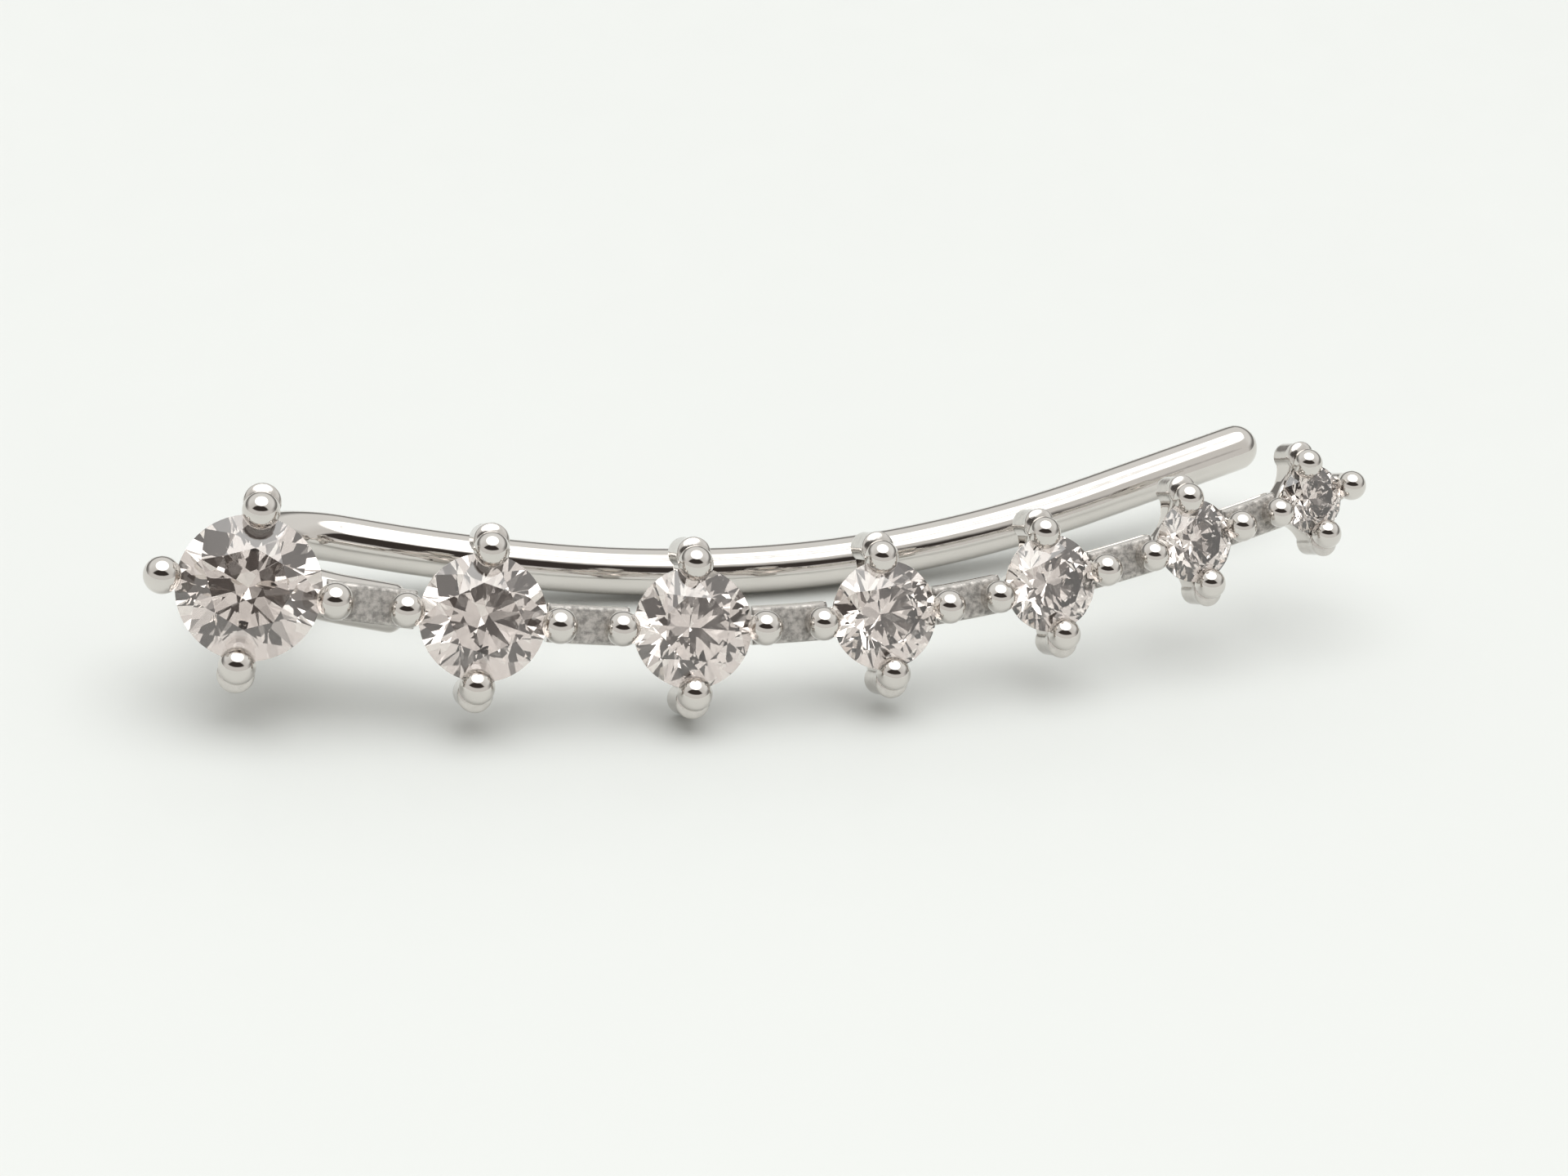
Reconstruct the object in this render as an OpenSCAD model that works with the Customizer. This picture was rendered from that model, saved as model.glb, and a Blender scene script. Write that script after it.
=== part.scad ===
// An ear climber: seven graduated round stones in four-prong settings on a curved rail,
// with a round ear wire behind that bends back from the largest setting.
// All sizes are millimetres. It lies as it rests on a table: +Z up, the stones face -Y,
// the largest stone is at -X, and the origin is under the middle of its box.

/* [Stones] */
// Diameter of the largest stone
big_stone = 2.6; // [2.3:0.05:3]
// Diameter of the smallest stone
small_stone = 1.3; // [1.15:0.05:1.6]
// Width of a stone's flat table as a share of its diameter
table_share = 0.56; // [0.5:0.01:0.64]
// Slope of the facets above the girdle in degrees
crown_angle = 34.5; // [30:0.5:37]
// Slope of the facets below the girdle in degrees
pavilion_angle = 41; // [38:0.5:42.5]
// Thickness of the girdle as a share of the stone's diameter
girdle_share = 0.03; // [0.02:0.005:0.05]
// Clear space between a stone and its seat
seat_gap = 0.03; // [0.02:0.005:0.05]

/* [Prongs] */
// Diameter of the balls that hold the largest stone
big_prong = 0.68; // [0.6:0.02:0.8]
// Diameter of the balls that hold the smallest stone
small_prong = 0.56; // [0.5:0.02:0.64]
// Height of a ball's middle above the girdle
ball_lift = 0.14; // [0.1:0.01:0.2]
// How far the tips of the upper and lower prongs lean in over the stone
tip_lean = 0.15; // [0.08:0.01:0.2]
// Clear width between the prongs of the two largest neighbours
big_link = 0.6; // [0.4:0.05:0.9]
// Clear width between the prongs of the two smallest neighbours
small_link = 0.3; // [0.2:0.05:0.5]

/* [Rail] */
// Height of the rail's face
rail_h = 0.7; // [0.6:0.05:0.85]
// Depth of the rail from face to back
rail_t = 0.4; // [0.35:0.05:0.8]
// Depth of the rail's face below the girdles
rail_sink = 0.1; // [0.05:0.01:0.2]
// Least thickness of metal behind a stone's seat, where a setting is narrowest
seat_wall = 0.25; // [0.2:0.05:0.4]
// Width of the bevel along the rail's edges
rail_bevel = 0.09; // [0.05:0.01:0.14]
// Upward bend of the whole row in degrees
row_bend = 26; // [16:1:32]
// Backward wrap of the whole row round the ear in degrees
row_wrap = 20; // [14:1:30]

/* [Ear wire] */
// Diameter of the ear wire
wire_d = 0.9; // [0.75:0.05:1]
// Clear gap for the ear between the rail and the wire
ear_gap = 3.5; // [2.6:0.1:4.2]
// Height of the wire's middle above the rail's middle
wire_rise = 1.0; // [0.2:0.05:1.2]
// Distance from the largest stone's middle to the start of the wire's bend
bend_start = 1.8; // [1.6:0.1:2.1]
// Length of the wire soldered along the rail after the bend
solder_len = 0.8; // [0.6:0.1:1]
// Upward bend of the wire's run behind the row in degrees
wire_bend = 31; // [22:0.5:38]
// Length of the wire's straight free end
wire_end = 3.2; // [2.2:0.1:4]
// How far the wire's end stops short of the smallest stone's middle, along the row
wire_short = 0.7; // [0:0.1:2]

/* [Hidden] */
$fn = 48;
silver = [0.83, 0.83, 0.82];
clear = [0.93, 0.92, 0.92, 0.6];

// One row for each stone, largest first: its size between the smallest and the largest stone,
// and the clear width to the next one between the smallest and the largest.
SIZE = 0;
LINK = 1;
GRADE = [
    [1.00, 1.0],
    [0.77, 0.6],
    [0.69, 0.5],
    [0.54, 0.3],
    [0.38, 0.4],
    [0.19, 0.0],
    [0.00, 0.0]
];
LAST = len(GRADE) - 1;

// Shares of a round cut: where the star points and the lower girdle points lie on the radius.
STAR_REACH = 0.5;
LOWER_POINT = 0.25;
// Share of a ball's radius that lies over the stone, and of that radius that its post has.
BALL_GRIP = 0.3;
POST_SHARE = 0.9;
// How far a leaning tip's middle is above the other balls', and its post's round end below them.
TIP_RISE = 0.05;
HEAD_DROP = 0.12;
// The settings stand proud of the rail, their posts proud of the settings, and the solder sinks.
PLATE_PROUD = 0.05;
POST_PROUD = 0.03;
SOLDER_SINK = 0.12;
// Half width of a setting's arm as a share of its post's radius, and of its waist on the rail.
ARM_SHARE = 0.85;
WAIST_SHARE = 1.2;
// How far inside a waist the rail ends, as a share of its height.
WAIST_INSET = 0.3;
// The wire's stretches end this far short of each other, inside a ball that stands proud of them.
JOINT_SHORT = 0.04;
JOINT_PROUD = 0.01;
// The setting whose lower post touches the table.
FOOT = 2;
// Weight of a setting with its stone as a length of wire, for each millimetre out to its prongs.
SETTING_WEIGHT = 3.7;
SAMPLES = 12;

// Sizes of one setting and one link.
function between(small, big, share) = small + (big - small) * share;
function stone_r(i) = between(small_stone, big_stone, GRADE[i][SIZE]) / 2;
function ball_r(i) = between(small_prong, big_prong, GRADE[i][SIZE]) / 2;
function post_r(i) = ball_r(i) * POST_SHARE;
function prong_at(i) = stone_r(i) + ball_r(i) * (1 - BALL_GRIP);
function link_gap(i) = between(small_link, big_link, GRADE[i][LINK]);
function link_len(i) = prong_at(i) + ball_r(i) + link_gap(i) + ball_r(i + 1) + prong_at(i + 1);
function station(i) = i == 0 ? 0 : station(i - 1) + link_len(i - 1);
row_len = station(LAST);

// Shares of a round cut on a stone of radius 1, measured up or down from the girdle's edge.
crown_h = (1 - table_share) * tan(crown_angle);
star_at = between(table_share * cos(22.5), 1, STAR_REACH);
star_h = crown_h - (star_at * cos(22.5) - table_share) * tan(crown_angle);
culet_h = tan(pavilion_angle);
lower_h = (1 - LOWER_POINT * cos(22.5)) * tan(pavilion_angle);
lower_slope = lower_h / (1 - LOWER_POINT);

// Heights in a setting's own frame, where the girdle is at 0 and the front is up. A setting is
// as deep as its seat needs at its waist, and never less deep than the rail.
rail_back = -rail_sink - rail_t;
rail_middle = -rail_sink - rail_t / 2;
plate_front = -rail_sink + PLATE_PROUD;
waist_r = rail_h / 2 * WAIST_SHARE * sqrt(2);
function seat_edge(i) = stone_r(i) * girdle_share + seat_gap;
function seat_r(i) = stone_r(i) + seat_gap;
function seat_at(i, r) = -seat_edge(i) - (seat_r(i) - r) * lower_slope;
function plate_back(i) = min(rail_back - PLATE_PROUD, seat_at(i, waist_r) - seat_wall);
function post_back(i) = plate_back(i) - POST_PROUD;

// The row and the wire are chains of arcs. Each has its length, its bend upward and its wrap
// backward in degrees, and turns about one axis. Most of the bend is in the middle of the row.
LENGTH = 0;
BEND = 1;
WRAP = 2;
function ease(t) = t * t * (3 - 2 * t);
function arc(from, to, full_bend) = [
    to - from,
    full_bend * (ease(to / row_len) - ease(from / row_len)),
    row_wrap * (to - from) / row_len
];
function turn(arc) = norm([arc[BEND], arc[WRAP]]);
function arc_r(arc) = arc[LENGTH] / (turn(arc) * PI / 180);
function arc_axis(arc) = [0, arc[WRAP], arc[BEND]] / turn(arc);
function arc_centre(arc) = [0, arc[BEND], -arc[WRAP]] / turn(arc) * arc_r(arc);

function unit(v) = v / norm(v);

// A frame is a matrix whose columns are the directions along, up and out, and the place.
function frame(x, y, z, p) = [
    [x[0], y[0], z[0], p[0]],
    [x[1], y[1], z[1], p[1]],
    [x[2], y[2], z[2], p[2]],
    [0, 0, 0, 1]
];
function turned(v, a, deg) = v * cos(deg) + cross(a, v) * sin(deg) + a * (a * v) * (1 - cos(deg));
function along_arc(arc, share) =
    let (
        a = arc_axis(arc),
        c = arc_centre(arc),
        deg = turn(arc) * share
    )
    frame(
        turned([1, 0, 0], a, deg), turned([0, 1, 0], a, deg), turned([0, 0, 1], a, deg),
        c - turned(c, a, deg)
    );
function place(m, p) = [for (row = [0:2]) m[row] * [p[0], p[1], p[2], 1]];
function aim(m, v) = [for (row = [0:2]) m[row] * [v[0], v[1], v[2], 0]];
LEVEL = frame([1, 0, 0], [0, 1, 0], [0, 0, 1], [0, 0, 0]);
function moved(v) = frame([1, 0, 0], [0, 1, 0], [0, 0, 1], v);
function chain(start, arcs) = [
    for (i = 0, m = start; i <= len(arcs); m = i < len(arcs) ? m * along_arc(arcs[i], 1) : m, i = i + 1) m
];
ROW_ARCS = [for (i = [0:LAST - 1]) arc(station(i), station(i + 1), row_bend)];
ROW = chain(LEVEL, ROW_ARCS);

// The ear wire. Its bend ends on the rail, in the frame SOLDER. Its run starts in the frame
// WIRE[0], above and behind that, and dips a little so that it bends evenly about the row.
WIRE_ARCS = 4;
wire_r = wire_d / 2;
wire_depth = rail_back - ear_gap - wire_r;
solder_depth = rail_back - wire_r + SOLDER_SINK;
run_len = row_len - wire_short - wire_end - bend_start;
function run_from(i) = bend_start + run_len * i / WIRE_ARCS;
dip = (row_bend - wire_bend) / 2;
SOLDER = ROW[0] * along_arc(ROW_ARCS[0], bend_start / link_len(0))
    * frame([cos(dip), sin(dip), 0], [-sin(dip), cos(dip), 0], [0, 0, 1], [0, 0, solder_depth]);
back_leg = [0, wire_rise, wire_depth - solder_depth];
bend_r = norm(back_leg) / 2;
bend_out = unit(back_leg);
RUN_ARCS = [for (i = [0:WIRE_ARCS - 1]) arc(run_from(i), run_from(i + 1), wire_bend)];
WIRE = chain(SOLDER * moved(back_leg), RUN_ARCS);
function wire_at(at) =
    let (i = min(floor(at), WIRE_ARCS - 1)) WIRE[i] * along_arc(RUN_ARCS[i], at - i);

// Balls that fill the wire and the prongs' ends, each a middle and a radius, for its box and rest.
WIRE_BALLS = concat(
    [
        for (i = [0:WIRE_ARCS - 1], k = [0:SAMPLES])
            [
                place(wire_at(i + k / SAMPLES), [0, 0, 0]),
                wire_r + (k == 0 ? JOINT_PROUD : 0)
            ]
    ],
    [
        for (k = [0:SAMPLES])
            let (deg = 180 * k / SAMPLES)
            [place(SOLDER, back_leg / 2 + bend_r * (bend_out * cos(deg) - [1, 0, 0] * sin(deg))), wire_r]
    ],
    [[place(WIRE[WIRE_ARCS], [wire_end + 2 * JOINT_SHORT, 0, 0]), wire_r + JOINT_PROUD]]
);
function head_lift(side) = ball_lift - (side % 2) * HEAD_DROP;
HEADS = [
    for (i = [0:LAST], side = [0:3])
        let (deg = 90 * side)
        [place(ROW[i], [prong_at(i) * cos(deg), prong_at(i) * sin(deg), head_lift(side)]), ball_r(i)]
];
TIPS = [
    for (i = [0:LAST], side = [-1, 1])
        [place(ROW[i], [0, side * (prong_at(i) - tip_lean), ball_lift + TIP_RISE]), ball_r(i)]
];

// Its point of balance: stretches of wire, and settings with their stones, each with its weight
// as a length of wire.
BULKS = concat(
    [for (i = [0:WIRE_ARCS - 1]) [place(wire_at(i + 0.5), [0, 0, 0]), run_len / WIRE_ARCS]],
    [for (i = [0:LAST]) [place(ROW[i], [0, 0, post_back(i) / 2]), prong_at(i) * SETTING_WEIGHT]],
    [
        [place(SOLDER, back_leg / 2 - [2 * bend_r / PI, 0, 0]), PI * bend_r],
        [place(SOLDER, [solder_len / 2, 0, 0]), solder_len],
        [place(WIRE[WIRE_ARCS], [wire_end / 2, 0, 0]), wire_end]
    ]
);
weights = [for (bulk = BULKS) bulk[1]];
balance = weights * [for (bulk = BULKS) bulk[0]] / (weights * [for (bulk = BULKS) 1]);

// It rests on the back edge of one lower post and on the run of the wire, and rocks until the
// balance is straight above the line between the two. Halving finds where the wire then touches.
function foot(i, up) =
    let (
        out = aim(ROW[i], [0, 0, 1]),
        down = unit((up * out) * out - up)
    )
    place(ROW[i], [0, -prong_at(i), post_back(i)]) + post_r(i) * down;
function upright(at, up) =
    let (
        line = unit(place(wire_at(at), [0, 0, 0]) - wire_r * up - foot(FOOT, up)),
        arm = balance - foot(FOOT, up)
    )
    unit(arm - (arm * line) * line);
function rest_normal(from, to, up, rounds) =
    let (
        at = (from + to) / 2,
        next = upright(at, up)
    )
    rounds == 0 ? next
        : aim(wire_at(at), [1, 0, 0]) * next > 0 ? rest_normal(at, to, next, rounds - 1)
        : rest_normal(from, at, next, rounds - 1);
rest_up = rest_normal(0, WIRE_ARCS, unit([0, 1, 0.4]), 16);
row_chord = place(ROW[LAST], [0, 0, 0]) - place(ROW[0], [0, 0, 0]);
rest_along = unit(row_chord - (row_chord * rest_up) * rest_up);
rest_back = cross(rest_up, rest_along);
function reach(v) = max([for (ball = concat(WIRE_BALLS, HEADS, TIPS)) ball[0] * v + ball[1]]);
function middle(v) = (reach(v) - reach(-v)) / 2;
lowest = min(-reach(-rest_up), min([for (i = [0:LAST]) foot(i, rest_up) * rest_up]));
REST = [
    concat(rest_along, [-middle(rest_along)]),
    concat(rest_back, [-middle(rest_back)]),
    concat(rest_up, [-lowest]),
    [0, 0, 0, 1]
];

module rail_section() {
    h = rail_h / 2;
    t = rail_t / 2;
    b = rail_bevel;
    polygon([
        [h - b, t], [h, t - b], [h, b - t], [h - b, -t], [b - h, -t], [-h, b - t], [-h, t - b], [b - h, t]
    ]);
}

// The rail is a bevelled bar from the waist of each setting's plate to the waist of the next.
module rail_bar(i) {
    start = place(ROW[i], [0, 0, rail_middle]);
    end = place(ROW[i + 1], [0, 0, rail_middle]);
    inset = WAIST_INSET * rail_h;
    along = unit(end - start);
    up = aim(ROW[i], [0, 1, 0]) + aim(ROW[i + 1], [0, 1, 0]);
    across = unit(up - (up * along) * along);
    multmatrix(frame(across, cross(along, across), along, start)) translate([0, 0, inset])
        linear_extrude(norm(end - start) - 2 * inset) rail_section();
}

module rail() {
    for (i = [0:LAST - 1]) rail_bar(i);
}

// A four-pointed plate: a square with a round bite out of each corner. Each bite leaves an arm
// of half width arm at the prong and a waist of half width waist over the rail.
module setting_plate(i) {
    tip = prong_at(i);
    arm = post_r(i) * ARM_SHARE;
    bite_at = (arm ^ 2 + tip ^ 2 - waist_r ^ 2) / (2 * (arm + tip) - 2 * sqrt(2) * waist_r);
    bite_r = bite_at * sqrt(2) - waist_r;
    translate([0, 0, plate_back(i)]) linear_extrude(plate_front - plate_back(i)) difference() {
        square(2 * tip, center = true);
        for (x = [-1, 1], y = [-1, 1]) translate([x, y] * bite_at) circle(bite_r);
    }
}

module prong(i, lift) {
    translate([0, 0, post_back(i)]) cylinder(r = post_r(i), h = lift - post_back(i));
    translate([0, 0, lift]) sphere(ball_r(i));
}

// The upper and lower prongs end in a second ball that leans in over the stone.
module leaning_tip(i) {
    translate([-tip_lean, 0, ball_lift + TIP_RISE]) sphere(ball_r(i));
}

module setting(i) {
    setting_plate(i);
    for (side = [0:3]) rotate(90 * side) translate([prong_at(i), 0]) prong(i, head_lift(side));
    for (side = [1, 3]) rotate(90 * side) translate([prong_at(i), 0]) leaning_tip(i);
}

// A stone of radius r: 8 table corners, 8 star points, 16 points on each edge of the girdle,
// 8 lower points and the culet, in that order.
module round_cut(r) {
    g = girdle_share;
    points = concat(
        [for (k = [0:7]) r * [table_share * cos(45 * k), table_share * sin(45 * k), g + crown_h]],
        [for (k = [0:7]) r * [star_at * cos(45 * k + 22.5), star_at * sin(45 * k + 22.5), g + star_h]],
        [for (k = [0:15]) r * [cos(22.5 * k), sin(22.5 * k), g]],
        [for (k = [0:15]) r * [cos(22.5 * k), sin(22.5 * k), -g]],
        [
            for (k = [0:7])
                let (deg = 45 * k + 22.5)
                r * [LOWER_POINT * cos(deg), LOWER_POINT * sin(deg), -g - lower_h]
        ],
        [[0, 0, -r * (g + culet_h)]]
    );
    corner = 0;
    star = 8;
    top = 16;
    bottom = 32;
    lower = 48;
    culet = 56;
    faces = concat(
        [[for (k = [7:-1:0]) corner + k]],
        [for (k = [0:7]) [corner + k, corner + (k + 1) % 8, star + k]],
        [for (k = [0:7]) [corner + k, star + k, top + 2 * k, star + (k + 7) % 8]],
        [for (k = [0:7]) [star + k, top + 2 * k + 1, top + 2 * k]],
        [for (k = [0:7]) [star + k, top + (2 * k + 2) % 16, top + 2 * k + 1]],
        [for (k = [0:15]) [top + k, top + (k + 1) % 16, bottom + (k + 1) % 16, bottom + k]],
        [for (k = [0:7]) [lower + k, bottom + 2 * k, bottom + 2 * k + 1]],
        [for (k = [0:7]) [lower + k, bottom + 2 * k + 1, bottom + (2 * k + 2) % 16]],
        [for (k = [0:7]) [culet, lower + (k + 7) % 8, bottom + 2 * k, lower + k]]
    );
    polyhedron(points, faces);
}

// The room that a stone takes in the metal: a turned form clear of every facet by the gap.
module stone_room(i) {
    edge = seat_edge(i);
    wide = seat_r(i);
    up = star_h / (1 - star_at);
    high = stone_r(i) * crown_h + edge;
    rotate_extrude() polygon([
        [0, seat_at(i, 0)], [wide, -edge], [wide, edge], [wide - high / up, edge + high],
        [0, edge + high]
    ]);
}

// The wire runs behind the row in a few arcs and ends in a straight free end with a round tip.
// At the other end it bends right round and is soldered along the rail's back.
module wire_joint() {
    sphere(wire_r + JOINT_PROUD);
}

// A bent stretch of wire. It starts at middle + away * r, heads along, and turns by deg.
module wire_bow(middle, away, along, r, deg) {
    short = JOINT_SHORT / r * 180 / PI;
    multmatrix(frame(away, along, cross(away, along), middle))
        rotate(short) rotate_extrude(angle = deg - 2 * short) translate([r, 0]) circle(wire_r);
}

module wire_straight(length) {
    wire_joint();
    translate([JOINT_SHORT, 0, 0]) rotate([0, 90, 0]) cylinder(r = wire_r, h = length);
}

module ear_wire() {
    for (i = [0:WIRE_ARCS - 1]) multmatrix(WIRE[i]) {
        arc = RUN_ARCS[i];
        wire_joint();
        wire_bow(arc_centre(arc), -unit(arc_centre(arc)), [1, 0, 0], arc_r(arc), turn(arc));
    }
    multmatrix(WIRE[WIRE_ARCS]) {
        wire_straight(wire_end);
        translate([wire_end + 2 * JOINT_SHORT, 0, 0]) wire_joint();
    }
    multmatrix(SOLDER) {
        wire_bow(back_leg / 2, bend_out, [-1, 0, 0], bend_r, 180);
        wire_straight(solder_len);
    }
}

module climber_frame() {
    color(silver) multmatrix(REST) difference() {
        union() {
            rail();
            for (i = [0:LAST]) multmatrix(ROW[i]) setting(i);
            ear_wire();
        }
        for (i = [0:LAST]) multmatrix(ROW[i]) stone_room(i);
    }
}

// Each stone is turned a little more than the last, as they fall in their seats.
STONE_TURN = 9;
module stone(i) {
    color(clear) multmatrix(REST) multmatrix(ROW[i]) rotate(STONE_TURN * i) round_cut(stone_r(i));
}

climber_frame();
stone(0);  // stone_1
stone(1);  // stone_2
stone(2);  // stone_3
stone(3);  // stone_4
stone(4);  // stone_5
stone(5);  // stone_6
stone(6);  // stone_7
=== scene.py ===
"""The looks of an ear climber: polished silver, cut stones, and a pale table in soft light.

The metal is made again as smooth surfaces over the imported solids, from the same sizes, and the
stones get a round girdle. Sizes in the properties are metres, and the shapes are worked out in
millimetres in the frame of the row, then laid down as the climber rests.
"""

import math

import bpy
import numpy as np
from bpy.props import FloatProperty, FloatVectorProperty, IntProperty, PointerProperty
from mathutils import Matrix, Vector


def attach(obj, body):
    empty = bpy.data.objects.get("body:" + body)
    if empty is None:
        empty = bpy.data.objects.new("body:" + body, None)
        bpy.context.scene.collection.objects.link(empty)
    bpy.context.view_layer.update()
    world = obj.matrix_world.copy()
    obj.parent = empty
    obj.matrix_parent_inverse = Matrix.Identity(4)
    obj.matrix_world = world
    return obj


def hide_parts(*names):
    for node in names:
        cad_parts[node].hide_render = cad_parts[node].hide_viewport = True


bl_info = {
    "name": "Ear Climber",
    "version": (1, 0, 0),
    "blender": (4, 5, 0),
    "location": "View3D > Sidebar > Climber",
    "description": "Builds an ear climber's silver, its cut stones and the table it lies on",
    "category": "Object",
}

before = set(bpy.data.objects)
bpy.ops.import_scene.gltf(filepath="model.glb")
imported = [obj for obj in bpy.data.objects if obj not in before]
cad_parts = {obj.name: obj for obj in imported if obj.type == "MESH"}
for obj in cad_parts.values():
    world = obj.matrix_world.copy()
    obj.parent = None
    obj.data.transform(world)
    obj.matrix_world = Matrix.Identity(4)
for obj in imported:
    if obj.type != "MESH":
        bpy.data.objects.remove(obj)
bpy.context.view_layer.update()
SILVER_NODE = "climber_frame"
STONE_NODES = sorted(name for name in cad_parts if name.startswith("stone_"))
MM = 0.001

# One row for each stone, largest first: its size between the smallest and the largest stone, and
# the clear width to the next one between the smallest and the largest.
GRADE = np.array([
    [1.00, 1.0],
    [0.77, 0.6],
    [0.69, 0.5],
    [0.54, 0.3],
    [0.38, 0.4],
    [0.19, 0.0],
    [0.00, 0.0],
])
LAST = len(GRADE) - 1

# Shares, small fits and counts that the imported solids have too.
STAR_REACH = 0.5
LOWER_POINT = 0.25
BALL_GRIP = 0.3
POST_SHARE = 0.9
TIP_RISE = 0.05
HEAD_DROP = np.array([0, 0.12, 0, 0.12])
PLATE_PROUD = 0.05
POST_PROUD = 0.03
SOLDER_SINK = 0.12
ARM_SHARE = 0.85
WAIST_SHARE = 1.2
TIP_PAST = 0.08
STONE_TURN = 9
WIRE_ARCS = 4
FOOT = 2
SETTING_WEIGHT = 3.7
SAMPLES = 12
HALVINGS = 17

# Only in the looks. For the four posts of a setting, from the right-hand one round: how high each
# round end's upper half is as a share of a ball's, and how much painted shade the post shows: a
# darker, rougher skin on the two posts under the leaning tips. Then, in millimetres, the radius of a
# post's back edge and the room from the rail's ends to the seats.
HEAD_FLAT = np.array([1, 0.4, 1, 0.4])
POST_PAINTED_SHADE = np.array([0, 0.2, 0, 0.2])
POST_EDGE = 0.07
RAIL_ROOM = 0.02

# The mound of solder: half its length as a share of the soldered length, its depth and the room
# from its sides to the rail's edges in millimetres, and how far its rows go towards its ends.
SOLDER_REACH = 0.62
SOLDER_DEPTH = 0.26
SOLDER_INSET = 0.01
SOLDER_END = 0.995

# Angles over a rounded edge, and how far from its pole a ball's last row stays.
QUARTER = np.linspace(0, math.pi / 2, 6)
NEAR_POLE = 0.03

# Rows of points along the stretches of the ear wire: each end, the soldered part, the bend, each arc
# of the run and the free part.
END_ROWS, SOLDERED_ROWS, BEND_ROWS, ARC_ROWS, FREE_ROWS = 14, 8, 72, 40, 12

# The fine relief of the metal: its depth in metres, then the waves, the hairlines and the cast skin,
# which the posts' painted shade takes too, as shares of that.
RELIEF_DEPTH = 0.000002
WAVE_RELIEF = 2.2
HAIR_RELIEF = 0.05
CAST_RELIEF = 7

# The room's light by direction. Heights are the upward share of a direction, and the others say how
# far it points to the viewer. Each pair is where a part starts and where it is full.
VIEWER = (-0.34, -0.94, 0)
FRONT_WALLS = (-0.2, 0.3)
LOW_BACK = (0.4, 0.2)
DIM_TOWARD = (0.45, 0.55)
DIM_ABOVE = (0.37, 0.44)
CEILING_RIM = (0.81, 0.87)
CORNICE_RIM = (0.945, 0.95)
CORNICE_TOP = (0.963, 0.958)
CORNICE_SHADE = 0.75
HIGH_BACK = (0.9, 0.9, 0.88)
CEILING_TINT = (1.0, 1.0, 0.985)

# The table's half width, and where the camera stands and looks, in metres.
TABLE_HALF = 1.5
CAMERA_PLACE = Vector((-0.025361, -0.070953, 0.043805))
CAMERA_AIM = Vector((0.000661, 0.000273, 0.000853))


def length(name, description, mm, low, high):
    """A size in metres, given in millimetres."""
    return FloatProperty(
        name=name, description=description, default=mm * MM, min=low * MM, max=high * MM,
        subtype="DISTANCE", unit="LENGTH", precision=5,
    )


def degrees(name, description, deg, low, high):
    """An angle, given in degrees."""
    return FloatProperty(
        name=name, description=description, default=math.radians(deg), min=math.radians(low),
        max=math.radians(high), subtype="ANGLE", unit="ROTATION",
    )


def share(name, description, value, low=0.0, high=1.0):
    """A plain share."""
    return FloatProperty(
        name=name, description=description, default=value, min=low, max=high, subtype="FACTOR"
    )


def tint(name, description, value):
    """A colour."""
    return FloatVectorProperty(
        name=name, description=description, default=value, size=3, min=0, max=1, subtype="COLOR"
    )


class ClimberStones(bpy.types.PropertyGroup):
    """Sizes and look of the cut stones."""

    big_stone: length("Largest stone", "Diameter of the largest stone", 2.6, 2.3, 3)
    small_stone: length("Smallest stone", "Diameter of the smallest stone", 1.3, 1.15, 1.6)
    table_share: share("Table", "Width of the flat table as a share of the diameter", 0.56)
    crown_angle: degrees("Crown", "Slope of the facets above the girdle", 34.5, 30, 37)
    pavilion_angle: degrees("Pavilion", "Slope of the facets below the girdle", 41, 38, 42.5)
    girdle_share: share("Girdle", "Half thickness of the girdle as a share of the radius", 0.03)
    seat_gap: length("Seat gap", "Clear space between a stone and its seat", 0.03, 0.02, 0.05)
    clear: tint("Stone colour", "Colour that light takes on in a stone", (1.0, 0.93, 0.885))


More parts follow.
